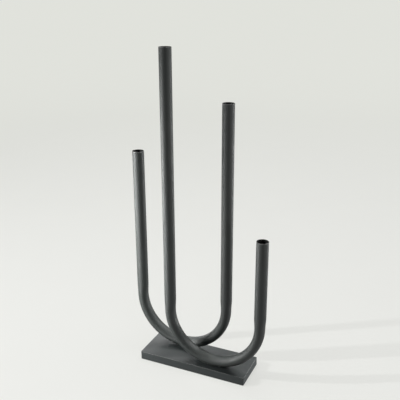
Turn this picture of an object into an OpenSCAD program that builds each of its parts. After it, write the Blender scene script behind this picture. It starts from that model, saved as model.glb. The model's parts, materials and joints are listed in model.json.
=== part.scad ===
// Tabletop candelabra. Two U-shaped tubes stand one behind the other on a flat steel plate,
// and each of their four upright arms ends in an open mouth that holds a taper candle.
// Millimetres, +Z up. The origin is the middle of the footprint, on the surface under the pads.
// +X runs to the right along the plate, and -Y is the front.

/* [Base plate] */
// Length of the plate, left to right
plate_l = 250; // [220:1:320]
// Depth of the plate, front to back
plate_w = 87; // [84:1:120]
// Thickness of the plate
plate_t = 19; // [17:0.5:21]
// Radius of the plate's upright corners
plate_corner_r = 2.5; // [1.5:0.5:5]
// Width of the bevel round the plate's top and bottom edges
plate_edge = 0.8; // [0.3:0.1:1.2]

/* [Tubes] */
// Outside diameter of the tube
tube_d = 25.4; // [25:0.1:27]
// Thickness of the tube's wall
tube_wall = 1.65; // [1.2:0.05:1.8]
// Radius of the bend, to the tube's centre line
bend_r = 104; // [98:1:112]
// Depth of the bent tube in the plane of the U, as a share of the tube's diameter
bend_thin = 0.88; // [0.86:0.01:0.94]
// Width of the bent tube across the U, as a share of the tube's diameter
bend_wide = 1.09; // [1.04:0.01:1.1]
// Length of straight tube over which the bend's oval turns round
ease_l = 26; // [20:1:40]
// Width of the bevel inside and outside each mouth
mouth_edge = 0.3; // [0.1:0.1:0.4]

/* [Layout] */
// Distance of the middle of each U from the middle of the plate, left to right
u_offset_x = 46.5; // [30:0.5:56]
// Distance of the middle of each U from the middle of the plate, front to back
u_offset_y = 21.5; // [18:0.5:24]

/* [Arm heights above the plate] */
// Height of the rear left mouth
rear_left_h = 454; // [230:1:800]
// Height of the rear right mouth
rear_right_h = 571; // [230:1:800]
// Height of the front left mouth
front_left_h = 678; // [230:1:800]
// Height of the front right mouth
front_right_h = 311; // [230:1:800]

/* [Candle sockets] */
// Depth of each socket, from its mouth down to the candle stop
stop_depth = 25; // [18:1:40]
// Depth that each socket is reamed into the tube's wall
ream = 0.3; // [0.2:0.05:0.4]
// Thickness of the disc that stops the candle
stop_t = 4; // [3:0.5:6]

/* [Fixings] */
// Distance between the two screws under each U
screw_gap = 28; // [22:1:34]
// Diameter of the countersunk screws
screw_d = 6; // [5:0.5:7]
// Length of the screws, head included
screw_l = 25; // [23:1:26]
// Width across the flats of the hexagon socket in each screw
socket_af = 4; // [3:0.5:4]
// Diameter of the threaded bosses welded into the tubes
boss_d = 10; // [9:0.5:11]
// Height of the bosses above the plate
boss_h = 9; // [8:0.5:10]

/* [Foot pads] */
// Diameter of each pad
pad_d = 22; // [14:1:26]
// Thickness of each pad
pad_t = 2; // [1.5:0.1:3]
// Height that the pads hold the plate clear of the table
pad_stand = 0.6; // [0.3:0.1:1]
// Distance of each pad's middle from the plate's two nearest sides
pad_inset = 17; // [15:0.5:20]

/* [Hidden] */
$fn = 96;
// Cutting tools run this far past the faces that they cut
PAST = 1;

COAT = [0.21, 0.215, 0.21];
BARE_STEEL = [0.62, 0.62, 0.60];
ZINC = [0.72, 0.73, 0.74];
FOAM = [0.08, 0.08, 0.08];

// Each arm has a name, a row (1 rear, -1 front), a side (1 right, -1 left) and a height.
// A screw, a boss and a foot pad go with each arm too.
ARMS = [
    ["rear_left", 1, -1, rear_left_h],
    ["rear_right", 1, 1, rear_right_h],
    ["front_left", -1, -1, front_left_h],
    ["front_right", -1, 1, front_right_h]
];
function name_of(arm) = arm[0];
function row_of(arm) = arm[1];
function side_of(arm) = arm[2];
function mouth_z(arm) = plate_top + arm[3];

plate_top = pad_stand + plate_t;
tube_r = tube_d / 2;
bore_r = tube_r - tube_wall;
candle_r = bore_r + ream;

// The bend's lowest point rests on the plate
thin_r = tube_r * bend_thin;
wide_r = tube_r * bend_wide;
bend_z = plate_top + bend_r + thin_r;
arms_from_z = bend_z + ease_l;
// The eases are flat-sided, so they stay this far inside the wall that they join
ease_gap = 0.06;

screw_r = screw_d / 2;
head_r = screw_d;
head_sunk = 0.2;
screw_end_edge = 0.6;
socket_depth = 2.2;
clearance_r = screw_r + 0.3;
thread_clearance = 0.05;
boss_r = boss_d / 2;
pad_r = pad_d / 2;
pocket_r = pad_r + 0.5;
pocket_depth = pad_t - pad_stand;
stop_edge = 0.4;
// Each stop is pressed down until it lies just under its socket
stop_sunk = 0.2;

// Puts its children at the middle of one row's U
module at_u(row) {
    translate([-row * u_offset_x, row * u_offset_y, 0])
        children();
}

// Puts its children where one arm's screw and boss go
module at_screw(arm) {
    at_u(row_of(arm))
        translate([side_of(arm) * screw_gap / 2, 0, 0])
            children();
}

// Puts its children where one arm's foot pad goes
module at_pad(arm) {
    translate([side_of(arm) * (plate_l / 2 - pad_inset), row_of(arm) * (plate_w / 2 - pad_inset), 0])
        children();
}

// A block with round upright corners and a bevel round its top and bottom
module bevelled_block(l, w, h, corner, edge) {
    function outline(half) = [
        [-half, edge], [-half + edge, 0], [half - edge, 0], [half, edge],
        [half, h - edge], [half - edge, h], [-half + edge, h], [-half, h - edge]
    ];
    rotate([90, 0, 90])
        linear_extrude(l - 2 * corner, center = true)
            polygon(outline(w / 2));
    rotate([90, 0, 0])
        linear_extrude(w - 2 * corner, center = true)
            polygon(outline(l / 2));
    for (x = [-1, 1], y = [-1, 1])
        translate([x * (l / 2 - corner), y * (w / 2 - corner), 0])
            rotate_extrude()
                polygon([
                    [0, 0], [corner - edge, 0], [corner, edge],
                    [corner, h - edge], [corner - edge, h], [0, h]
                ]);
}

// A screw hole, countersunk from below
module countersunk_hole() {
    translate([0, 0, -PAST])
        cylinder(r = clearance_r, h = plate_t + 2 * PAST);
    translate([0, 0, -PAST])
        cylinder(r1 = head_r + PAST, r2 = clearance_r, h = head_r + PAST - clearance_r);
}

module base_plate() {
    color(COAT)
        translate([0, 0, pad_stand])
            difference() {
                bevelled_block(plate_l, plate_w, plate_t, plate_corner_r, plate_edge);
                for (arm = ARMS) {
                    at_screw(arm)
                        countersunk_hole();
                    at_pad(arm)
                        translate([0, 0, -PAST])
                            cylinder(r = pocket_r, h = pocket_depth + PAST);
                }
            }
}

// The tube's wall in section
module wall_section(half_x, half_y) {
    difference() {
        scale([half_x, half_y])
            circle(1);
        scale([half_x - tube_wall, half_y - tube_wall])
            circle(1);
    }
}

// One upright arm, from the ease up to its bevelled mouth, with the candle socket reamed into it
module round_arm(length) {
    rotate_extrude()
        polygon([
            [bore_r, 0], [tube_r, 0], [tube_r, length - mouth_edge], [tube_r - mouth_edge, length],
            [candle_r + mouth_edge, length], [candle_r, length - mouth_edge],
            [candle_r, length - stop_depth], [bore_r, length - stop_depth]
        ]);
}

// A straight taper from the bend's oval up to the arm's circle
module taper(half_x, half_y, round_r) {
    linear_extrude(ease_l, scale = [round_r / half_x, round_r / half_y], slices = 1)
        scale([half_x, half_y])
            circle(1, $fn = 48);
}

module ease() {
    difference() {
        taper(thin_r - ease_gap, wide_r - ease_gap, tube_r - ease_gap);
        taper(thin_r - tube_wall + ease_gap, wide_r - tube_wall + ease_gap, bore_r + ease_gap);
    }
}

// The oval half turn that joins the two arms
module half_turn() {
    rotate([-90, 0, 0])
        rotate_extrude(angle = 180)
            translate([bend_r, 0])
                wall_section(thin_r, wide_r);
}

// One U, with the holes under it for its two bosses
module u_tube(row) {
    difference() {
        at_u(row) {
            translate([0, 0, bend_z])
                half_turn();
            for (arm = ARMS)
                if (row_of(arm) == row)
                    translate([side_of(arm) * bend_r, 0, 0]) {
                        translate([0, 0, bend_z])
                            ease();
                        translate([0, 0, arms_from_z])
                            round_arm(mouth_z(arm) - arms_from_z);
                    }
        }
        for (arm = ARMS)
            if (row_of(arm) == row)
                at_screw(arm)
                    translate([0, 0, plate_top - PAST])
                        cylinder(r = boss_r, h = thin_r + PAST);
    }
}

module rear_tube() {
    color(COAT)
        u_tube(1);
}

module front_tube() {
    color(COAT)
        u_tube(-1);
}

// A disc pressed down the arm, whose flat top carries the candle
module candle_stop(arm) {
    color(COAT)
        at_u(row_of(arm))
            translate([side_of(arm) * bend_r, 0, mouth_z(arm) - stop_depth - stop_sunk])
                rotate_extrude()
                    polygon([
                        [0, 0], [bore_r - stop_edge, 0], [bore_r, -stop_edge],
                        [bore_r, stop_edge - stop_t], [bore_r - stop_edge, -stop_t], [0, -stop_t]
                    ]);
}

// A threaded boss welded through the underside of the tube, with its face flat on the plate
module boss(arm) {
    color(BARE_STEEL)
        at_screw(arm)
            translate([0, 0, plate_top])
                difference() {
                    cylinder(r = boss_r, h = boss_h);
                    translate([0, 0, -PAST])
                        cylinder(r = screw_r, h = boss_h + 2 * PAST);
                }
}

// A countersunk screw, head down, with its thread as a plain cylinder
module countersunk_screw() {
    shank_r = screw_r - thread_clearance;
    head_top = head_r - shank_r;
    difference() {
        rotate_extrude()
            polygon([
                [0, head_sunk], [head_r - head_sunk, head_sunk], [shank_r, head_top],
                [shank_r, screw_l - screw_end_edge], [shank_r - screw_end_edge, screw_l], [0, screw_l]
            ]);
        translate([0, 0, head_sunk - PAST])
            cylinder(d = socket_af / cos(30), h = socket_depth + PAST, $fn = 6);
    }
}

module fixing_screws() {
    color(ZINC)
        for (arm = ARMS)
            at_screw(arm)
                translate([0, 0, pad_stand])
                    countersunk_screw();
}

module foot_pad(arm) {
    color(FOAM)
        at_pad(arm)
            cylinder(r = pad_r, h = pad_t);
}

base_plate();
rear_tube();
front_tube();
fixing_screws();
for (arm = ARMS) {
    candle_stop(arm);
    boss(arm);
    foot_pad(arm);
}
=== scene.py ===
# %% [markdown]
# # A candelabra of two bent tubes
#
# Two steel tubes, each bent into a U, stand one behind the other on a thick flat plate. Each
# of the four upright arms ends in an open mouth that takes a taper candle. Everything that
# shows has one finish, a fine charcoal powder coat.
#
# The sizes are settled already, in a CAD model. It is loaded first, as a fixed frame in
# metres, and every piece made here takes its place and its size from it.

# %% Load the frame
import json
import math

import bmesh
import bpy
from mathutils import Matrix, Vector


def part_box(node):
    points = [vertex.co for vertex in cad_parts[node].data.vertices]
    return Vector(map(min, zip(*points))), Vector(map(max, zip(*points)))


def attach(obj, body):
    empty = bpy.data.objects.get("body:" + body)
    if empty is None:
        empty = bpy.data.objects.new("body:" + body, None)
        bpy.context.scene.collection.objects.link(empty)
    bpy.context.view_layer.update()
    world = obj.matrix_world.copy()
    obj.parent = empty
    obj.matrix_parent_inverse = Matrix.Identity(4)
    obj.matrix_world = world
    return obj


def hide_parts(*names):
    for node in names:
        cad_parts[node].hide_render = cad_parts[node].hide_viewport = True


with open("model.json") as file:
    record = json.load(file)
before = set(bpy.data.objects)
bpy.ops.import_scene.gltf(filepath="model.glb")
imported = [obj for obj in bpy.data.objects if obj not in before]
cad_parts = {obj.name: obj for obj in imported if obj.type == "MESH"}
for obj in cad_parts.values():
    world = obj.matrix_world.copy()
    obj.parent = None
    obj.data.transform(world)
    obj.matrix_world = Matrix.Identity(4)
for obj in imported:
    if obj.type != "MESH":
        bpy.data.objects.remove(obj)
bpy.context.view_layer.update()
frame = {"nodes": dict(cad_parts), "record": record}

mm = 0.001
print("CAD nodes:", ", ".join(sorted(frame["nodes"])))

# %% [markdown]
# ## Sizes
#
# A box round a CAD node is enough to find most sizes. A U is as deep as its bent tube is
# wide, the candle stops stand in the middle of the arms, and the sockets are written in the
# frame's own record. Only what a box can't tell is stated here as a number: how oval the
# tube becomes in the bend, how far the oval takes to turn round again, and how round the
# lips are.

# %% Read the sizes off the frame
ROWS = ("rear", "front")
SIDES = ("left", "right")
SOCKETS = {m["name"].replace("candle_socket_", ""): m for m in frame["record"]["mounts"]}

BEND_THIN, BEND_WIDE = 0.88, 1.09
EASE_LENGTH = 26 * mm
LIP_RADIUS = 0.3 * mm

plate_low, plate_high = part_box("base_plate")
pad_low, pad_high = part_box("foot_pad_front_right")
boss_low, boss_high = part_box("boss_front_right")


def middle(node):
    """The middle of a CAD node's box."""
    low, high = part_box(node)
    return (low + high) / 2


def half_width(node):
    """Half of a CAD node's width, left to right."""
    low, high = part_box(node)
    return (high.x - low.x) / 2


def mouth_height(arm):
    """How high the lip of one arm is: its socket's wall stops a lip's radius below it."""
    socket = SOCKETS[arm]
    return socket["pos_m"][2] + socket["dims"]["length_mm"] * mm / 2 + LIP_RADIUS


arm_gap = middle("candle_stop_rear_right").x - middle("candle_stop_rear_left").x
bend_radius = arm_gap / 2
tube_radius = half_width("rear_tube") - bend_radius
bore_radius = half_width("candle_stop_rear_left")
socket_radius = SOCKETS["rear_left"]["dims"]["r_mm"] * mm
socket_deep = tube_radius - socket_radius
wall = tube_radius - bore_radius
boss_radius = half_width("boss_front_right")
pad_radius = half_width("foot_pad_front_right")
plate_top = plate_high.z
bend_height = plate_top + bend_radius + tube_radius * BEND_THIN
print(f"bend {bend_radius / mm:.1f} mm, tube {2 * tube_radius / mm:.2f} x {wall / mm:.2f} mm")

# %% [markdown]
# ## A shorthand for nodes
#
# Materials and Geometry Nodes are both drawings of boxes joined by wires. Clicking them
# together doesn't read well as text, so two small classes do it here. A `Board` adds any
# node, with its settings first and then its sockets. A `Wire` is one output, and arithmetic
# on wires adds Math nodes, so that a formula looks like a formula.

# %% Boards and wires
class Wire:
    """One output of a node. Arithmetic on it adds Math nodes to the board."""

    def __init__(self, board, node, output=0):
        self.board, self.node, self.output = board, node, output

    @property
    def socket(self):
        return self.node.outputs[self.output]

    def __getitem__(self, output):
        return Wire(self.board, self.node, output)

    def __add__(self, other):
        return self.board.math("ADD", self, other)

    def __sub__(self, other):
        return self.board.math("SUBTRACT", self, other)

    def __rsub__(self, other):
        return self.board.math("SUBTRACT", other, self)

    def __mul__(self, other):
        return self.board.math("MULTIPLY", self, other)

    def __truediv__(self, other):
        return self.board.math("DIVIDE", self, other)

    def __neg__(self):
        return self.board.math("MULTIPLY", self, -1.0)

    __radd__ = __add__
    __rmul__ = __mul__


class Board:
    """A node tree, and the one method that adds any node to it."""

    def __init__(self, tree):
        self.tree = tree

    def add(self, kind, settings=None, sockets=None):
        """Adds a node. Each socket gets a value, or a link if it is given a wire."""
        node = self.tree.nodes.new(kind)
        for name, value in (settings or {}).items():
            if name == "captures":
                for label in value:
                    node.capture_items.new("VECTOR", label)
            else:
                setattr(node, name, value)
        for name, value in (sockets or {}).items():
            if isinstance(value, Wire):
                self.tree.links.new(value.socket, node.inputs[name])
            else:
                node.inputs[name].default_value = value
        return Wire(self, node)

    def math(self, operation, *values):
        return self.add("ShaderNodeMath", {"operation": operation}, dict(enumerate(values)))

    def fade(self, value, start, end):
        """0 before start and 1 after end, with a soft run between them."""
        return self.add(
            "ShaderNodeMapRange",
            {"interpolation_type": "SMOOTHSTEP"},
            {"Value": value, "From Min": start, "From Max": end},
        )


print("Boards and wires are ready")

# %% [markdown]
# ## Powder coat
#
# Powder coat is dry paint dust that is baked until it flows together. It never flows quite
# flat: a faint orange peel stays, a millimetre or two across, with a finer grain in it. The
# shine is dull and differs a little from place to place, and the coat is thinnest on sharp
# edges, where use rubs it towards the grey of the steel. At the tubes' lips that grey is also
# a painted highlight.
#
# It could be painted as images. Noise in object coordinates does the same at any distance
# and needs no unwrapping. The coordinates are scaled to millimetres first, so that each
# noise is given as the size of its grain.

# %% Tools for finishes
# A Mix node has sockets for every kind of value. These are the ones for colours.
MIX_FACTOR, MIX_FIRST, MIX_SECOND, MIX_RESULT = 0, 6, 7, 2


class Finish(Board):
    """A material's board, with its object coordinates in millimetres."""

    def __init__(self, name):
        self.material = bpy.data.materials.new(name)
        self.material.use_nodes = True
        super().__init__(self.material.node_tree)
        self.tree.nodes.clear()
        place = self.add("ShaderNodeTexCoord")["Object"]
        self.place = self.add(
            "ShaderNodeVectorMath", {"operation": "SCALE"}, {0: place, "Scale": 1 / mm}
        )

    def grain(self, size, detail=2.0, stretch=None):
        """Noise between 0 and 1 whose grains are about size mm across."""
        place = self.place
        if stretch:
            place = self.add(
                "ShaderNodeVectorMath", {"operation": "MULTIPLY"}, {0: place, 1: stretch}
            )
        sockets = {"Vector": place, "Scale": 1 / size, "Detail": detail}
        return self.add("ShaderNodeTexNoise", None, sockets)["Fac"]

    def blend(self, factor, first, second):
        """The first colour where the factor is 0, and the second where it is 1."""
        sockets = {MIX_FACTOR: factor, MIX_FIRST: first, MIX_SECOND: second}
        return self.add("ShaderNodeMix", {"data_type": "RGBA"}, sockets)[MIX_RESULT]

    def bump(self, height, depth, under=None):
        """A normal for a relief that is depth mm deep, on top of the one under it."""
        sockets = {"Height": height, "Distance": depth * mm, "Strength": 1.0}
        if under:
            sockets["Normal"] = under
        return self.add("ShaderNodeBump", None, sockets)

    def mark(self, name):
        """The value that a piece carries on its points under that name, or 0."""
        return self.add("ShaderNodeAttribute", {"attribute_name": name})["Fac"]

    def finish(self, shader):
        """Ends the material, and gives it."""
        self.add("ShaderNodeOutputMaterial", None, {"Surface": shader})
        print(f"{self.material.name}: {len(self.tree.nodes)} nodes")
        return self.material


def grey(level, warmth=0.0):
    """A near-grey as linear red, green, blue and alpha."""
    return (level * (1 + warmth), level, level * (1 - warmth), 1.0)


print("Finishes are drawn in millimetres")

# %% [markdown]
# The tubes and the plate have the same coat. Only its tint differs a little, and where it is
# rubbed. A tube carries a mark for how near each point is to a lip, where the rubbed grey is
# also a painted highlight along the lip. The plate needs none: near one of its edges, two of
# the distances to its sides are small at once. The paint dust hardly blows into a tube, so a
# second mark makes the coat dull in there, and paints it near black as painted shade inside
# the tube.

# %% Powder coat for the tubes and the plate
CHARCOAL_DARK, CHARCOAL_LIGHT = (0.0190, 0.0230, 0.0212, 1), (0.0255, 0.0300, 0.0275, 1)
PLATE_DARK, PLATE_LIGHT = (0.0190, 0.0240, 0.0238, 1), (0.0250, 0.0308, 0.0303, 1)
# The grey of rubbed edges, which at the tubes' lips is also a painted highlight
WORN_STEEL_AND_HIGHLIGHT = (0.30, 0.30, 0.29, 1)
# Near black for the bore and socket: painted shade inside the tube
BORE_SHADE_BLACK = (0.004, 0.004, 0.004, 1)
SPECK_TINT, WEAR_AND_HIGHLIGHT_TINT = 0.16, 0.55
# Millimetres from an edge of the plate, up to where it is rubbed and from where it is whole
EDGE_RUBBED, EDGE_WHOLE = 0.25, 1.1


def powder_coat(name, dark, light, worn, rub):
    """Charcoal powder coat. The function given last says where the coat is rubbed, from 0 to 1,
    and at the tubes' lips also where a highlight is painted.
    """
    coat = Finish(name)
    clouds = coat.grain(size=46, detail=3.0)
    specks = coat.fade(coat.grain(size=0.9, detail=1.0), start=0.68, end=0.76)
    colour = coat.blend(clouds, dark, light)
    colour = coat.blend(specks * SPECK_TINT, colour, light)
    # Rubbed edges turn towards grey steel. At the tubes' lips this lighter grey is also a
    # painted highlight.
    patchy = coat.fade(coat.grain(size=1.6, detail=4.0), start=0.38, end=0.62)
    wear_and_highlight = rub(coat) * patchy
    colour = coat.blend(wear_and_highlight * WEAR_AND_HIGHLIGHT_TINT, colour, worn)
    handled = coat.fade(coat.grain(size=28, detail=4.0), start=0.42, end=0.72)
    # Down in the bore the coat is painted near black: painted shade inside the tube.
    inside = coat.mark("inside")
    colour = coat.blend(inside, colour, BORE_SHADE_BLACK)
    # Touch and rubbing polish the coat. Clouds and specks are duller than the rest, and so is
    # the bore, whose near-black colour is painted shade.
    dullness = 0.55 + 0.05 * clouds - 0.04 * handled + 0.05 * specks - 0.12 * wear_and_highlight
    dullness = dullness + 0.35 * inside
    peel = coat.bump(coat.grain(size=1.9, detail=2.0), depth=0.010)
    fine = coat.bump(coat.grain(size=0.34, detail=1.0), depth=0.003, under=peel)
    return coat.finish(
        coat.add(
            "ShaderNodeBsdfPrincipled",
            None,
            {"Base Color": colour, "Roughness": dullness, "Normal": fine, "IOR": 1.5},
        )
    )


def wear_and_highlight_at_lips(coat):
    """The tubes carry their own mark for how near a mouth's lip is, for the wear and the painted
    highlight there.
    """
    return coat.mark("lip")


def rub_at_plate_edges(coat):
    """Near an edge of the plate, two of the distances to its sides are small at once."""
    axes = coat.add("ShaderNodeSeparateXYZ", None, {0: coat.place})
    centre = middle("base_plate") / mm
    half = (plate_high - plate_low) / 2 / mm
    depths = [half[i] - coat.math("ABSOLUTE", axes[i] - centre[i]) for i in range(3)]
    pairs = [coat.math("MAXIMUM", depths[i], depths[i - 1]) for i in range(3)]
    nearest = coat.math("MINIMUM", coat.math("MINIMUM", pairs[0], pairs[1]), pairs[2])
    return 1 - coat.fade(nearest, EDGE_RUBBED, EDGE_WHOLE)


tube_coat = powder_coat(
    "Charcoal powder coat, tubes", CHARCOAL_DARK, CHARCOAL_LIGHT, WORN_STEEL_AND_HIGHLIGHT, wear_and_highlight_at_lips
)
plate_coat = powder_coat(
    "Charcoal powder coat, plate", PLATE_DARK, PLATE_LIGHT, WORN_STEEL_AND_HIGHLIGHT, rub_at_plate_edges
)

# %% [markdown]
# ## Finishes that hardly show
#
# The candle stops sit deep in the arms. Their coat is thin, and dust lies on it in patches
# that are both paler and duller, so one noise steers the colour and the roughness.

# %% The thin coat on the stops
stop = Finish("Thin coat on the stops")
dust = stop.fade(stop.grain(size=5, detail=4.0), start=0.35, end=0.75)
stop_colour = stop.blend(dust, grey(0.030), grey(0.060, 0.05))
stop_normal = stop.bump(stop.grain(size=0.8), depth=0.03)
stop_coat = stop.finish(
    stop.add(
        "ShaderNodeBsdfPrincipled",
        None,
        {"Base Color": stop_colour, "Roughness": 0.5 + 0.25 * dust, "Normal": stop_normal},
    )
)

# %% [markdown]
# The bosses under the tubes are bare turned steel. A lathe leaves fine rings round the axis,
# which are lines of one height, so a noise squeezed along Z makes them. The screws are zinc
# plated, bluish and a little cloudy. The pads are black closed-cell foam, matt and full of
# pinholes.

# %% Turned steel
LATHE_STRETCH = (0.02, 0.02, 6.0)
steel = Finish("Turned steel")
rings = steel.grain(size=1.0, detail=3.0, stretch=LATHE_STRETCH)
tarnish = steel.fade(steel.grain(size=3.5, detail=3.0), start=0.4, end=0.7)
boss_steel = steel.finish(
    steel.add(
        "ShaderNodeBsdfPrincipled",
        None,
        {
            "Base Color": steel.blend(tarnish, grey(0.50, 0.01), grey(0.36, 0.05)),
            "Metallic": 1.0,
            "Roughness": 0.26 + 0.12 * rings + 0.14 * tarnish,
            "Normal": steel.bump(rings, depth=0.02),
        },
    )
)

# %% Zinc and foam
BLUE_ZINC, YELLOW_ZINC = (0.60, 0.63, 0.68, 1), (0.70, 0.70, 0.66, 1)
zinc = Finish("Zinc plate")
cloud = zinc.grain(size=1.4, detail=3.0)
screw_zinc = zinc.finish(
    zinc.add(
        "ShaderNodeBsdfPrincipled",
        None,
        {
            "Base Color": zinc.blend(cloud, BLUE_ZINC, YELLOW_ZINC),
            "Metallic": 1.0,
            "Roughness": 0.24 + 0.18 * cloud,
            "Normal": zinc.bump(zinc.grain(size=0.25), depth=0.004),
        },
    )
)

foam = Finish("Foam rubber")
pinholes = foam.fade(foam.grain(size=0.5, detail=2.0), start=0.50, end=0.66)
pad_foam = foam.finish(
    foam.add(
        "ShaderNodeBsdfPrincipled",
        None,
        {
            "Base Color": foam.blend(pinholes, grey(0.022), grey(0.008)),
            "Roughness": 0.82 + 0.12 * pinholes,
            "Normal": foam.bump(1 - pinholes, depth=0.05),
        },
    )
)

# %% [markdown]
# ## Recipes in Geometry Nodes
#
# The tubes follow a rule, and the screws, bosses, stops and pads are turned shapes that
# repeat. Both start as a flat outline, a row of points drawn in Python, and Geometry Nodes
# bend or turn that outline into a solid. A recipe has named inputs for its sizes, so that
# one recipe serves pieces of several sizes.

# %% Tools for recipes
# Points closer together than this are one point
JOIN_WITHIN = 0.002 * mm


class Recipe(Board):
    """A Geometry Nodes tree: an outline goes in, named sizes steer it, and a mesh comes out."""

    KINDS = {"size": "Float", "count": "Int", "material": "Material", "object": "Object"}

    def __init__(self, name, **inputs):
        super().__init__(bpy.data.node_groups.new(name, "GeometryNodeTree"))
        face = self.tree.interface
        face.new_socket("Outline", in_out="INPUT", socket_type="NodeSocketGeometry")
        for label, kind in inputs.items():
            socket_type = "NodeSocket" + self.KINDS[kind]
            face.new_socket(label, in_out="INPUT", socket_type=socket_type)
        face.new_socket("Solid", in_out="OUTPUT", socket_type="NodeSocketGeometry")
        self.given = self.add("NodeGroupInput")

    def rings(self, segments):
        """Sweeps the outline round a circle. Gives the skin, and two vectors on each of its
        points: where it was on the outline, and its direction on the circle."""
        capture = "GeometryNodeCaptureAttribute"
        where = self.add("GeometryNodeInputPosition")
        drawn = self.add(
            capture, {"captures": ["where"]}, {0: self.given["Outline"], 1: where}
        )
        outline = self.add("GeometryNodeMeshToCurve", None, {"Mesh": drawn})
        circle = self.add(
            "GeometryNodeCurvePrimitiveCircle", None, {"Resolution": segments, "Radius": 1.0}
        )
        spun = self.add(capture, {"captures": ["turn"]}, {0: circle, 1: where})
        skin = self.add(
            "GeometryNodeCurveToMesh", None, {"Curve": outline, "Profile Curve": spun}
        )
        return skin, drawn[1], spun[1]

    def parts(self, vector):
        """A vector's X, Y and Z."""
        axes = self.add("ShaderNodeSeparateXYZ", None, {0: vector})
        return axes[0], axes[1], axes[2]

    def place(self, skin, x, y, z):
        """Moves every point of the skin to x, y, z, and closes its seams and poles."""
        spot = self.add("ShaderNodeCombineXYZ", None, {0: x, 1: y, 2: z})
        placed = self.add("GeometryNodeSetPosition", None, {"Geometry": skin, "Position": spot})
        return self.joined(placed)

    def joined(self, solid):
        """Joins the points that lie in one place."""
        return self.add(
            "GeometryNodeMergeByDistance", None, {"Geometry": solid, "Distance": JOIN_WITHIN}
        )

    def finish(self, solid):
        """Ends the recipe: real geometry, smooth, with its material."""
        real = self.add("GeometryNodeRealizeInstances", None, {"Geometry": solid})
        smooth = self.add("GeometryNodeSetShadeSmooth", None, {"Geometry": real})
        painted = self.add(
            "GeometryNodeSetMaterial",
            None,
            {"Geometry": smooth, "Material": self.given["Material"]},
        )
        self.add("NodeGroupOutput", None, {"Solid": painted})
        print(f"recipe {self.tree.name}: {len(self.tree.nodes)} nodes")


print("Recipes join points within", JOIN_WITHIN / mm, "mm")

# %% [markdown]
# A recipe runs as a modifier on an outline. Its result is copied to a plain mesh at once and
# the modifier is taken off, so nothing is left to change later. Then the piece is measured,
# and the CAD nodes that it stands for are hidden. An edge with other than two faces would mean
# a hole or a stray face, so those are counted too.

# %% Tools for pieces
SHARP_ANGLE = math.radians(40)


def outline_mesh(name, points, closed):
    """A flat outline as a mesh of edges."""
    mesh = bpy.data.meshes.new(name)
    edges = [(i, i + 1) for i in range(len(points) - 1)]
    if closed:
        edges.append((len(points) - 1, 0))
    mesh.from_pydata([(x, y, 0) for x, y in points], edges, [])
    return mesh


def show_object(name, mesh):
    """Puts a mesh in the scene, at the origin."""
    piece = bpy.data.objects.new(name, mesh)
    bpy.context.scene.collection.objects.link(piece)
    return piece


def settle(piece):
    """Copies what the modifiers make into the piece's own mesh, and takes them off."""
    bpy.context.view_layer.update()
    graph = bpy.context.evaluated_depsgraph_get()
    made = bpy.data.meshes.new_from_object(piece.evaluated_get(graph))
    piece.modifiers.clear()
    piece.data = made
    made.name = piece.name
    made.set_sharp_from_angle(angle=SHARP_ANGLE)


def cook(name, outline, recipe, **values):
    """Runs a recipe on an outline, and gives the piece that it makes."""
    piece = show_object(name, outline)
    modifier = piece.modifiers.new(recipe.tree.name, "NODES")
    modifier.node_group = recipe.tree
    for item in recipe.tree.interface.items_tree:
        if item.in_out == "INPUT" and item.name in values:
            modifier[item.identifier] = values[item.name]
    settle(piece)
    return piece


def hand_over(piece, slot, *nodes):
    """Measures a finished piece, puts it under the root body, and hides the CAD nodes that it
    stands for. The slot is not used.
    """
    shape = bmesh.new()
    shape.from_mesh(piece.data)
    open_edges = sum(not edge.is_manifold for edge in shape.edges)
    volume = shape.calc_volume(signed=True) / mm**3
    triangles = sum(len(face.verts) - 2 for face in shape.faces)
    shape.free()
    print(f"{piece.name}: {triangles} triangles, {volume:.0f} mm3, {open_edges} open edges")
    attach(piece, "root")
    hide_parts(*nodes)


print(f"edges sharper than {math.degrees(SHARP_ANGLE):.0f} degrees stay sharp")

# %% [markdown]
# ## The bent tubes
#
# On the real object a mandrel bender pulls a straight tube round a die. The outside of the
# bend stretches and the tube flattens a little: in the bend it is thinner in the plane of
# the U and wider across it. Above the bend it soon turns round again.
#
# A curve with a bevel would give the U, but not the oval, the wall or the lips. So the
# outline here is the wall itself, unrolled: along the tube in X, down into the wall in Y. It
# runs out along the skin, over a rounded lip, down the reamed socket and back through the
# bore. The recipe sweeps it round a circle and bends it, all in one formula.

# %% The recipe for a U
U_SIZES = (
    "Left Run", "Bend Radius", "Tube Radius", "Bend Thin", "Bend Wide", "Ease Length",
    "Middle X", "Middle Y", "Bend Height", "Whole Length",
    "Boss Gap", "Boss Radius", "Plate Top",
)
u_recipe = Recipe(
    "Bent U tube", **dict.fromkeys(U_SIZES, "size"), Segments="count", Material="material"
)
given = u_recipe.given
skin, where, turn = u_recipe.rings(given["Segments"])
along, deep, _ = u_recipe.parts(where)
cosine, sine, _ = u_recipe.parts(turn)

# How far past the start of the bend, as an angle, and how far up an arm
past_start = along - given["Left Run"]
angle = u_recipe.add(
    "ShaderNodeClamp", None, {"Value": past_start / given["Bend Radius"], "Max": math.pi}
)
past_end = past_start - given["Bend Radius"] * math.pi
up = u_recipe.math("MAXIMUM", -past_start, 0.0) + u_recipe.math("MAXIMUM", past_end, 0.0)

# The oval, full in the bend and gone at the end of the ease
oval = 1 - u_recipe.fade(up, 0.0, given["Ease Length"])
in_plane = given["Tube Radius"] * (1 + oval * (given["Bend Thin"] - 1)) - deep
across = given["Tube Radius"] * (1 + oval * (given["Bend Wide"] - 1)) - deep

# A point's distance from the middle of the bend, then its place
reach = given["Bend Radius"] + in_plane * cosine
tube = u_recipe.place(
    skin,
    given["Middle X"] - u_recipe.math("COSINE", angle) * reach,
    given["Middle Y"] + across * sine,
    given["Bend Height"] + up - u_recipe.math("SINE", angle) * reach,
)
print(f"the bend takes {len(u_recipe.tree.nodes)} nodes")

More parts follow.
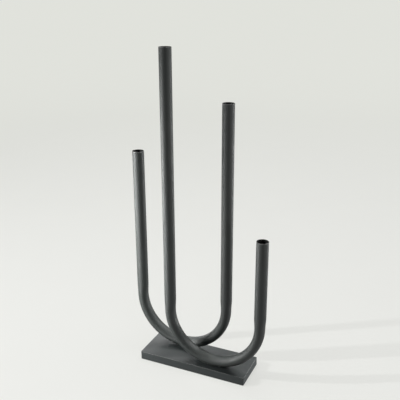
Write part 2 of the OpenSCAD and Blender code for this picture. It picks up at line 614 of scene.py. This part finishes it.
# %% [markdown]
# The same recipe writes the two marks that the coat reads: "lip" near each lip, where the
# coat is rubbed and a highlight is painted, and "inside" down in the bore, where shade is
# painted near black. Then it drills the two holes in the underside for the bosses. A drill
# leaves slivers where it just grazes an edge of the mesh, so points that lie in one place are
# joined again after it.

# %% Mark the tube, and drill it for the bosses
# Distances from a lip, along the tube, over which its wear and painted highlight fade out
LIP_WEAR_AND_HIGHLIGHT, LIP_PLAIN = 0.2 * mm, 1.0 * mm
# Depths below the tube's skin, where the painted shade of the bore starts and where it is full
BORE_SHADE_STARTS, BORE_SHADE_FULL = 0.8 * mm, 1.1 * mm
DRILL_DEPTH, DRILL_SIDES = 20 * mm, 48


def marked(solid, name, value):
    """Writes a value on each point, under a name that a material can read."""
    return u_recipe.add(
        "GeometryNodeStoreNamedAttribute",
        {"data_type": "FLOAT", "domain": "POINT"},
        {"Geometry": solid, "Name": name, "Value": value},
    )


from_lip = u_recipe.math("MINIMUM", along, given["Whole Length"] - along)
# Near each lip: wear, and a painted highlight
tube = marked(tube, "lip", 1 - u_recipe.fade(from_lip, LIP_WEAR_AND_HIGHLIGHT, LIP_PLAIN))
# Down in the bore: painted shade
tube = marked(tube, "inside", u_recipe.fade(deep, BORE_SHADE_STARTS, BORE_SHADE_FULL))

first_x = given["Middle X"] - given["Boss Gap"] / 2
first_hole = u_recipe.add(
    "ShaderNodeCombineXYZ", None, {0: first_x, 1: given["Middle Y"], 2: given["Plate Top"]}
)
gap = u_recipe.add("ShaderNodeCombineXYZ", None, {0: given["Boss Gap"]})
holes = u_recipe.add(
    "GeometryNodeMeshLine", None, {"Count": 2, "Start Location": first_hole, "Offset": gap}
)
drill = u_recipe.add(
    "GeometryNodeMeshCylinder",
    None,
    {"Vertices": DRILL_SIDES, "Radius": given["Boss Radius"], "Depth": DRILL_DEPTH},
)
drills = u_recipe.add(
    "GeometryNodeInstanceOnPoints", None, {"Points": holes, "Instance": drill}
)
real_drills = u_recipe.add("GeometryNodeRealizeInstances", None, {0: drills})
drilled = u_recipe.add(
    "GeometryNodeMeshBoolean",
    {"operation": "DIFFERENCE", "solver": "MANIFOLD"},
    {"Mesh 1": tube, "Mesh 2": real_drills},
)
u_recipe.finish(u_recipe.joined(drilled))

# %% [markdown]
# The outline's points could be spaced evenly. A straight arm needs hardly any, though, and
# the bend needs many, so each stretch gets its own step. A lip is two quarter circles, one
# from the skin to the end face and one from there into the socket.

# %% The wall of a tube, unrolled
NEAR_LIP, BELOW_LIP = 2 * mm, 8 * mm
ARM_STEP, EASE_STEP, BEND_STEP = 90 * mm, 3 * mm, math.radians(2)
QUARTER_STEPS = (0, 30, 60, 90)


def steps(start, end, step):
    """Evenly spaced stops from start towards end, without end itself."""
    count = max(1, math.ceil(abs(end - start) / step))
    return [start + (end - start) * i / count for i in range(count)]


def quarter(corner_x, corner_y, radius, first_degrees):
    """A quarter circle in four points."""
    angles = [math.radians(first_degrees + turned) for turned in QUARTER_STEPS]
    return [(corner_x + radius * math.cos(a), corner_y + radius * math.sin(a)) for a in angles]


def lip(end):
    """The rounded right-hand lip at the end of the wall, from the skin to the socket."""
    edge = end - LIP_RADIUS
    skin_side = quarter(edge, LIP_RADIUS, LIP_RADIUS, -90)
    socket_side = quarter(edge, socket_deep - LIP_RADIUS, LIP_RADIUS, 0)
    return skin_side + socket_side


def unrolled_wall(left_run, right_run, socket_length):
    """The wall's outline: (along, deep) from the left mouth to the right one and back."""
    bend_end = left_run + math.pi * bend_radius
    whole = bend_end + right_run
    stops = [NEAR_LIP]
    stops += steps(BELOW_LIP, left_run - EASE_LENGTH, ARM_STEP)
    stops += steps(left_run - EASE_LENGTH, left_run, EASE_STEP)
    stops += steps(left_run, bend_end, BEND_STEP * bend_radius)
    stops += steps(bend_end, bend_end + EASE_LENGTH, EASE_STEP)
    stops += steps(bend_end + EASE_LENGTH, whole - BELOW_LIP, ARM_STEP)
    stops += [whole - BELOW_LIP, whole - NEAR_LIP]

    right_lip = lip(whole)
    left_lip = [(whole - x, y) for x, y in reversed(right_lip)]
    shoulders = [(whole - socket_length, socket_deep), (whole - socket_length, wall)]
    bore = [(x, wall) for x in reversed(stops) if socket_length < x < whole - socket_length]
    left_shoulders = [(whole - x, y) for x, y in reversed(shoulders)]
    points = [(x, 0.0) for x in stops] + right_lip + shoulders + bore + left_shoulders + left_lip
    return points, whole


print(f"each lip is {len(lip(0.0))} points round a radius of {LIP_RADIUS / mm:.1f} mm")

# %% [markdown]
# All four arms differ in length, so both tubes are cooked by one recipe with their own runs
# from the mouths down to the bend. Those come from the sockets in the frame's record.

# %% Bend the two tubes
TUBE_SEGMENTS = 72
tubes = {}
for row in ROWS:
    left_run, right_run = [mouth_height(f"{row}_{side}") - bend_height for side in SIDES]
    socket_length = SOCKETS[f"{row}_left"]["dims"]["length_mm"] * mm + LIP_RADIUS
    points, whole = unrolled_wall(left_run, right_run, socket_length)
    u_middle = (middle(f"candle_stop_{row}_left") + middle(f"candle_stop_{row}_right")) / 2
    left_boss, right_boss = [middle(f"boss_{row}_{side}") for side in SIDES]
    tubes[row] = cook(
        f"bent_tube_{row}",
        outline_mesh(f"{row} wall", points, closed=True),
        u_recipe,
        **{
            "Left Run": left_run,
            "Bend Radius": bend_radius,
            "Tube Radius": tube_radius,
            "Bend Thin": BEND_THIN,
            "Bend Wide": BEND_WIDE,
            "Ease Length": EASE_LENGTH,
            "Middle X": u_middle.x,
            "Middle Y": u_middle.y,
            "Bend Height": bend_height,
            "Whole Length": whole,
            "Boss Gap": right_boss.x - left_boss.x,
            "Boss Radius": boss_radius,
            "Plate Top": plate_top,
            "Segments": TUBE_SEGMENTS,
            "Material": tube_coat,
        },
    )
    print(f"{row} tube: {whole / mm:.0f} mm long before it was bent")
    hand_over(tubes[row], "tube_coat", f"{row}_tube")

# %% [markdown]
# ## Turned pieces
#
# A lathe makes a round shape from half of its outline. The second recipe does that, and sets
# the result down at each station, which is a point of a helper object. The outline's X is
# the radius and its Y the height above the station.

# %% The recipe for turned pieces
def turned_recipe(name, hex_hole=False):
    """Turns an outline and repeats it. With a hex hole, a key's socket is cut from below."""
    sizes = {"Hole Flats": "size", "Hole Top": "size"} if hex_hole else {}
    recipe = Recipe(name, **sizes, Stations="object", Segments="count", Material="material")
    skin, where, turn = recipe.rings(recipe.given["Segments"])
    radius, height, _ = recipe.parts(where)
    cosine, sine, _ = recipe.parts(turn)
    solid = recipe.place(skin, radius * cosine, radius * sine, height)
    if hex_hole:
        corners = recipe.given["Hole Flats"] / math.sqrt(3)
        key = recipe.add(
            "GeometryNodeMeshCylinder",
            None,
            {"Vertices": 6, "Radius": corners, "Depth": recipe.given["Hole Top"] * 2},
        )
        solid = recipe.add(
            "GeometryNodeMeshBoolean",
            {"operation": "DIFFERENCE", "solver": "MANIFOLD"},
            {"Mesh 1": solid, "Mesh 2": key},
        )
    stations = recipe.add(
        "GeometryNodeObjectInfo", None, {"Object": recipe.given["Stations"]}
    )["Geometry"]
    repeated = recipe.add(
        "GeometryNodeInstanceOnPoints", None, {"Points": stations, "Instance": solid}
    )
    recipe.finish(repeated)
    return recipe


lathe = turned_recipe("Turned piece")
screw_lathe = turned_recipe("Turned screw", hex_hole=True)


def turned(name, outline, stations, recipe=lathe, closed=False, **values):
    """Turns an outline (radius, height in mm) and sets it down at each station."""
    points = bpy.data.meshes.new(name + " stations")
    points.from_pydata(stations, [], [])
    helper = show_object(name + " stations", points)
    scaled = [(radius * mm, height * mm) for radius, height in outline]
    mesh = outline_mesh(name, scaled, closed)
    piece = cook(name, mesh, recipe, Stations=helper, **values)
    bpy.data.objects.remove(helper)
    return piece


def rounded(radius, low, high, edge):
    """Half the outline of a disc with rounded edges, from its bottom pole to its top one."""
    bottom = quarter(radius - edge, low + edge, edge, -90)
    top = quarter(radius - edge, high - edge, edge, 0)
    return [(0, low), *bottom, *top, (0, high)]


ARMS = [f"{row}_{side}" for row in ROWS for side in SIDES]


def spots_of(kind, height=None):
    """The middle of each arm's CAD node of that kind, at its foot or at a given height."""
    spots = []
    for arm in ARMS:
        spot, foot = middle(f"{kind}_{arm}"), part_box(f"{kind}_{arm}")[0].z
        spots.append((spot.x, spot.y, foot if height is None else height))
    return spots


print("stations:", ", ".join(ARMS))

# %% [markdown]
# A candle stands on a disc pressed down into its arm. Four foam pads sit in shallow pockets
# under the plate and lift it just clear of the table. All eight are discs with rounded
# edges, so one outline does for both.

# %% Candle stops and foot pads
STOP_EDGE, PAD_EDGE = 0.5, 0.35
DISC_SEGMENTS = 64
stop_low, stop_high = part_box("candle_stop_rear_left")
stops = turned(
    "candle_stops",
    rounded(bore_radius / mm, 0, (stop_high.z - stop_low.z) / mm, STOP_EDGE),
    spots_of("candle_stop"),
    Segments=DISC_SEGMENTS,
    Material=stop_coat,
)
hand_over(stops, "stop_coat", *[f"candle_stop_{arm}" for arm in ARMS])

pads = turned(
    "foot_pads",
    rounded(pad_radius / mm, 0, (pad_high.z - pad_low.z) / mm, PAD_EDGE),
    spots_of("foot_pad"),
    Segments=DISC_SEGMENTS,
    Material=pad_foam,
)
hand_over(pads, "pad_foam", *[f"foot_pad_{arm}" for arm in ARMS])

# %% [markdown]
# Under each U two bosses are welded into the tube: short turned sleeves with a thread inside
# and their edges broken. Their outline is closed, because the hole runs right through.

# %% Bosses
THREAD_RADIUS = 3.0
BOSS_BREAK, BOSS_TOP_BREAK = 0.3, 0.4
BOSS_SEGMENTS = 48


def boss_outline(outer, length):
    """The wall of a sleeve with broken edges, from the bottom of its hole round to the top."""
    return [
        (THREAD_RADIUS, BOSS_BREAK),
        (THREAD_RADIUS + BOSS_BREAK, 0),
        (outer - BOSS_BREAK, 0),
        (outer, BOSS_BREAK),
        (outer, length - BOSS_TOP_BREAK),
        (outer - BOSS_TOP_BREAK, length),
        (THREAD_RADIUS + BOSS_BREAK, length),
        (THREAD_RADIUS, length - BOSS_BREAK),
    ]


bosses = turned(
    "weld_bosses",
    boss_outline(boss_radius / mm, (boss_high.z - boss_low.z) / mm),
    spots_of("boss"),
    closed=True,
    Segments=BOSS_SEGMENTS,
    Material=boss_steel,
)
hand_over(bosses, "boss_steel", *[f"boss_{arm}" for arm in ARMS])

# %% [markdown]
# A countersunk screw comes up through the plate into each boss. A true thread is a helix.
# Rings of ridges look the same at this size and stay simple to close, so the thread is part
# of the outline. The key's socket isn't round, so it is cut afterwards.

# %% Screws, with their threads
HEAD_RADIUS, HEAD_RIM, HEAD_BREAK = 5.8, 0.2, 0.25
THREAD_START, TIP_BREAK, PITCH = 5.0, 0.8, 1.0
# How far each lies inside the boss's thread, and where it is along one turn
CREST_BELOW, ROOT_BELOW = 0.05, 0.42
ROOT_AT, CREST_AT = 0.45, 0.9
KEY_FLATS, KEY_TOP = 4 * mm, 2.0 * mm
SCREW_SEGMENTS = 40
screws_low, screws_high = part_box("fixing_screws")


def screw_outline(length):
    """A countersunk head, then a shank whose thread is a row of ridges."""
    crest, root = THREAD_RADIUS - CREST_BELOW, THREAD_RADIUS - ROOT_BELOW
    thread_end = length - TIP_BREAK
    points = [(0, 0), (HEAD_RADIUS - HEAD_BREAK, 0), (HEAD_RADIUS, HEAD_RIM)]
    points.append((crest, HEAD_RADIUS - crest))
    for turns in range(int((thread_end - THREAD_START) / PITCH)):
        low = THREAD_START + turns * PITCH
        points += [(crest, low), (root, low + ROOT_AT), (crest, low + CREST_AT)]
    return points + [(crest, thread_end), (root, length), (0, length)]


screws = turned(
    "fixing_screws_zinc",
    screw_outline((screws_high.z - screws_low.z) / mm),
    spots_of("boss", screws_low.z),
    recipe=screw_lathe,
    Segments=SCREW_SEGMENTS,
    Material=screw_zinc,
    **{"Hole Flats": KEY_FLATS, "Hole Top": KEY_TOP},
)
hand_over(screws, "zinc", "fixing_screws")

# %% [markdown]
# ## The base plate
#
# The plate is sawn or flame cut from 19 mm steel, ground, and its edges are broken before it
# is coated. A cube with a bevel would do for the outside. Building it from rings of points
# gives the same rounded edge all round, with large flat faces that stay flat, and the holes
# are then cut from below.

# %% The slab
PLATE_CORNER, PLATE_EDGE = 2.5 * mm, 0.8 * mm
EDGE_STEPS, CORNER_STEPS = 5, 10


def slab_ring(shape, inset, z):
    """One ring of points round the slab, inset from its sides."""
    centre = middle("base_plate")
    half_x = (plate_high.x - plate_low.x) / 2 - PLATE_CORNER
    half_y = (plate_high.y - plate_low.y) / 2 - PLATE_CORNER
    radius = PLATE_CORNER - inset
    ring = []
    for number, (sx, sy) in enumerate(((1, 1), (-1, 1), (-1, -1), (1, -1))):
        for step in range(CORNER_STEPS + 1):
            a = math.radians(90) * (number + step / CORNER_STEPS)
            x = centre.x + sx * half_x + radius * math.cos(a)
            y = centre.y + sy * half_y + radius * math.sin(a)
            ring.append(shape.verts.new((x, y, z)))
    return ring


def slab():
    """Rings up one rounded edge and down the other, joined into a closed block."""
    shape = bmesh.new()
    rings = []
    for step in range(EDGE_STEPS + 1):
        a = math.radians(90) * step / EDGE_STEPS
        z = plate_low.z + PLATE_EDGE * (1 - math.sin(a))
        rings.append((PLATE_EDGE * (1 - math.cos(a)), z))
    rings = rings[::-1] + [(inset, plate_low.z + plate_high.z - z) for inset, z in rings]
    loops = [slab_ring(shape, inset, z) for inset, z in rings]
    for low, high in zip(loops, loops[1:]):
        for i in range(len(low)):
            shape.faces.new((low[i - 1], low[i], high[i], high[i - 1]))
    shape.faces.new(reversed(loops[0]))
    shape.faces.new(loops[-1])
    for face in shape.faces:
        face.smooth = True
    mesh = bpy.data.meshes.new("base_slab")
    shape.to_mesh(mesh)
    shape.free()
    mesh.materials.append(plate_coat)
    return show_object("base_slab", mesh)


plate = slab()
print(f"slab: {len(plate.data.polygons)} faces before drilling")

# %% [markdown]
# The cutters are turned pieces too: a screw's hole with its countersink, and a pad's pocket.
# The weighted normals at the end keep the big faces looking flat beside the rounded edges.

# %% Drill and finish the plate
SINK_RADIUS, CLEAR_RADIUS = 6, 3.3
POCKET_GAP, POCKET_EDGE = 0.5, 0.2
PAST = 1.0
plate_thick = (plate_high.z - plate_low.z) / mm
screw_cutter = turned(
    "screw holes",
    [
        (0, -PAST),
        (SINK_RADIUS + PAST, -PAST),
        (CLEAR_RADIUS, SINK_RADIUS - CLEAR_RADIUS),
        (CLEAR_RADIUS, plate_thick + PAST),
        (0, plate_thick + PAST),
    ],
    spots_of("boss", plate_low.z),
    Segments=BOSS_SEGMENTS,
    Material=plate_coat,
)
pocket_depth = (pad_high.z - plate_low.z) / mm
pad_cutter = turned(
    "pad pockets",
    rounded(pad_radius / mm + POCKET_GAP, -PAST, pocket_depth, POCKET_EDGE),
    spots_of("foot_pad", plate_low.z),
    Segments=DISC_SEGMENTS,
    Material=plate_coat,
)
for cutter in (screw_cutter, pad_cutter):
    cut = plate.modifiers.new(cutter.name, "BOOLEAN")
    cut.object, cut.operation, cut.solver = cutter, "DIFFERENCE", "EXACT"
settle(plate)
for cutter in (screw_cutter, pad_cutter):
    bpy.data.objects.remove(cutter)
weighted = plate.modifiers.new("Flat faces stay flat", "WEIGHTED_NORMAL")
weighted.keep_sharp = True
settle(plate)
hand_over(plate, "plate_coat", "base_plate")

# %% [markdown]
# ## The studio
#
# The floor is pale and runs up into a wall far off, with no corner between them. It is round,
# so it looks the same from every side. Lit by the object's own lights it would be patchy and
# grey, so it glows by itself, a little more far off than near by, and one broad light
# overhead lights nothing else. It throws nothing back at the object: the lights do all that.

# %% Floor and sweep
SWEEP_RADIUS, SWEEP_CURVE, SWEEP_HEIGHT = 5.2, 2.2, 6.5
SWEEP_STEPS, SWEEP_SEGMENTS = 24, 96
FLAT_RINGS = (0.4, 0.8, 1.6)
GLOW_NEAR, GLOW_FAR = (0.56, 0.565, 0.54, 1), (0.705, 0.715, 0.67, 1)
# Millimetres from the object, over which the near glow turns into the far one
GLOW_START, GLOW_END = 300, 4200
PAPER_DARK, PAPER_LIGHT = (0.245, 0.245, 0.24, 1), (0.255, 0.255, 0.25, 1)
flat_end = SWEEP_RADIUS - SWEEP_CURVE
profile = [(r, 0.0) for r in (0.0, *FLAT_RINGS, flat_end)]
for step in range(1, SWEEP_STEPS + 1):
    a = math.radians(90) * step / SWEEP_STEPS
    profile.append((flat_end + SWEEP_CURVE * math.sin(a), SWEEP_CURVE * (1 - math.cos(a))))
profile.append((SWEEP_RADIUS, SWEEP_HEIGHT))

paper = Finish("Pale studio paper")
mottle = paper.grain(size=140, detail=2.0)
paper_normal = paper.bump(paper.grain(size=0.7, detail=2.0), depth=0.02)
away = paper.add("ShaderNodeVectorMath", {"operation": "LENGTH"}, {0: paper.place})["Value"]
glow = paper.blend(paper.fade(away, GLOW_START, GLOW_END), GLOW_NEAR, GLOW_FAR)
studio_paper = paper.finish(
    paper.add(
        "ShaderNodeBsdfPrincipled",
        None,
        {
            "Base Color": paper.blend(mottle, PAPER_DARK, PAPER_LIGHT),
            "Roughness": 0.95,
            "Specular IOR Level": 0.0,
            "Normal": paper_normal,
            "Emission Color": glow,
            "Emission Strength": 1.0,
        },
    )
)
sweep = turned(
    "studio_sweep",
    [(r / mm, z / mm) for r, z in profile],
    [(0.0, 0.0, 0.0)],
    Segments=SWEEP_SEGMENTS,
    Material=studio_paper,
)
sweep.visible_diffuse = False
sweep.visible_glossy = False

# %% [markdown]
# A small hard key light comes from the left, low, and draws thin shadows. Its beam is
# narrowed, so that it leaves no hot spot on the floor beside it. Three lights stand high on
# the right and behind, a small one and two broad ones. Glowing cards close on the left and
# behind brighten one side of each tube, and two on the right give it a second, paler edge.
#
# Only the key lights everything, and one light is for the paper alone. The rest leave the
# paper out, since cards so close to it would show on it as bright patches. Two of them light
# nothing but the tubes, because they would bleach the plate too.

# %% Lights
def from_direction(heading, elevation, distance, height):
    """A point that far from the object's axis. Heading 0 is +X, and 90 is +Y."""
    h, e = math.radians(heading), math.radians(elevation)
    return Vector(
        (
            distance * math.cos(e) * math.cos(h),
            distance * math.cos(e) * math.sin(h),
            height + distance * math.sin(e),
        )
    )


def studio_light(
    name, heading, elevation, distance, height, size, watts, lights_up=None, spread=math.pi
):
    """An area light that faces the object's axis at that height, from so many metres away and
    so many degrees round and up. It lights up one collection, or everything."""
    data = bpy.data.lights.new(name, "AREA")
    data.shape = "RECTANGLE"
    data.size, data.size_y = size
    data.energy = watts
    data.spread = spread
    light = bpy.data.objects.new(name, data)
    light.location = from_direction(heading, elevation, distance, height)
    back = light.location - Vector((0, 0, height))
    light.rotation_euler = back.to_track_quat("Z", "Y").to_euler()
    light.visible_camera = False
    light.light_linking.receiver_collection = lights_up
    bpy.context.scene.collection.objects.link(light)
    print(f"{name}: {watts} W, {distance} m away")


KEY_SPREAD = math.radians(100)
# A collection that only leaves the paper out holds everything else
object_alone = bpy.data.collections.new("The object alone")
paper_alone = bpy.data.collections.new("The paper alone")
tubes_alone = bpy.data.collections.new("The tubes alone")
for receivers in (object_alone, paper_alone):
    receivers.objects.link(sweep)
object_alone.collection_objects[0].light_linking.link_state = "EXCLUDE"
for piece in tubes.values():
    tubes_alone.objects.link(piece)

studio_light("key", 210, 26, 2.6, 0.3, (0.05, 0.05), 11.5, spread=KEY_SPREAD)
studio_light("paper_light", 0, 90, 2.5, 0.0, (3.0, 3.0), 75, paper_alone)
studio_light("back_right", 60, 40, 3.2, 0.2, (0.3, 0.3), 49, object_alone)
studio_light("right", 20, 50, 3.2, 0.2, (1.0, 1.2), 56, object_alone)
studio_light("back", 120, 50, 3.2, 0.2, (1.0, 1.2), 32, object_alone)
studio_light("left_card_high", 200, 0, 0.36, 0.40, (0.12, 0.28), 1.95, tubes_alone)
studio_light("left_card_low", 220, 0, 0.36, 0.12, (0.12, 0.28), 1.35, object_alone)
studio_light("left_card_close", 190, 0, 0.31, 0.24, (0.06, 0.24), 0.3, tubes_alone)
studio_light("left_card_behind", 140, 0, 0.36, 0.12, (0.12, 0.28), 0.38, object_alone)
studio_light("back_card", 120, 0, 0.9, 0.40, (0.25, 0.28), 1.4, object_alone)
studio_light("right_card_behind", 40, 0, 1.6, 0.02, (0.5, 0.4), 16, object_alone)
studio_light("right_card_front", 340, 0, 1.6, 0.2, (0.5, 0.6), 3.5, object_alone)

# %% [markdown]
# The paper throws nothing back, so the light that it would send up at the object comes from
# the lower half of the world instead, and fades out at the horizon.

# %% Light from below
BELOW_STRENGTH = 0.62
# How steeply a ray points, from -1 straight down to 1 straight up
FULL_BELOW, NONE_ABOVE = -0.15, 0.05
world = bpy.data.worlds.new("Studio air")
world.use_nodes = True
world.node_tree.nodes.clear()
air = Board(world.node_tree)
ray = air.add("ShaderNodeTexCoord")["Generated"]
up_or_down = air.add("ShaderNodeSeparateXYZ", None, {0: ray})["Z"]
from_below = 1 - air.fade(up_or_down, FULL_BELOW, NONE_ABOVE)
strength = BELOW_STRENGTH * from_below
background = air.add("ShaderNodeBackground", None, {"Color": (1, 1, 1, 1), "Strength": strength})
air.add("ShaderNodeOutputWorld", None, {"Surface": background})
bpy.context.scene.world = world
bpy.context.scene.view_settings.view_transform = "Standard"
print("light from below:", BELOW_STRENGTH)

# %% [markdown]
# ## The camera
#
# It stands in front and to the right, a little more than a metre away and a little above the
# highest mouth, and looks down on the plate.

# %% Camera
SENSOR_WIDTH, LENS = 36.0, 54.08
CAMERA_PLACE = (0.491156, -1.065588, 0.795773)
TURN, DOWN, ROLL = math.radians(24.516), math.radians(19.098), math.radians(-0.206)
camera_data = bpy.data.cameras.new("Camera")
camera_data.sensor_width = SENSOR_WIDTH
camera_data.lens = LENS
camera = bpy.data.objects.new("Camera", camera_data)
look = (
    Matrix.Rotation(TURN, 4, "Z")
    @ Matrix.Rotation(math.radians(90) - DOWN, 4, "X")
    @ Matrix.Rotation(ROLL, 4, "Z")
)
camera.matrix_world = Matrix.Translation(CAMERA_PLACE) @ look
bpy.context.scene.collection.objects.link(camera)
bpy.context.scene.camera = camera
print("camera at", [round(v, 3) for v in camera.location])

# %% [markdown]
# ## Finish
#
# The scene is brought up to date once more.

# %% Update the scene
bpy.context.view_layer.update()
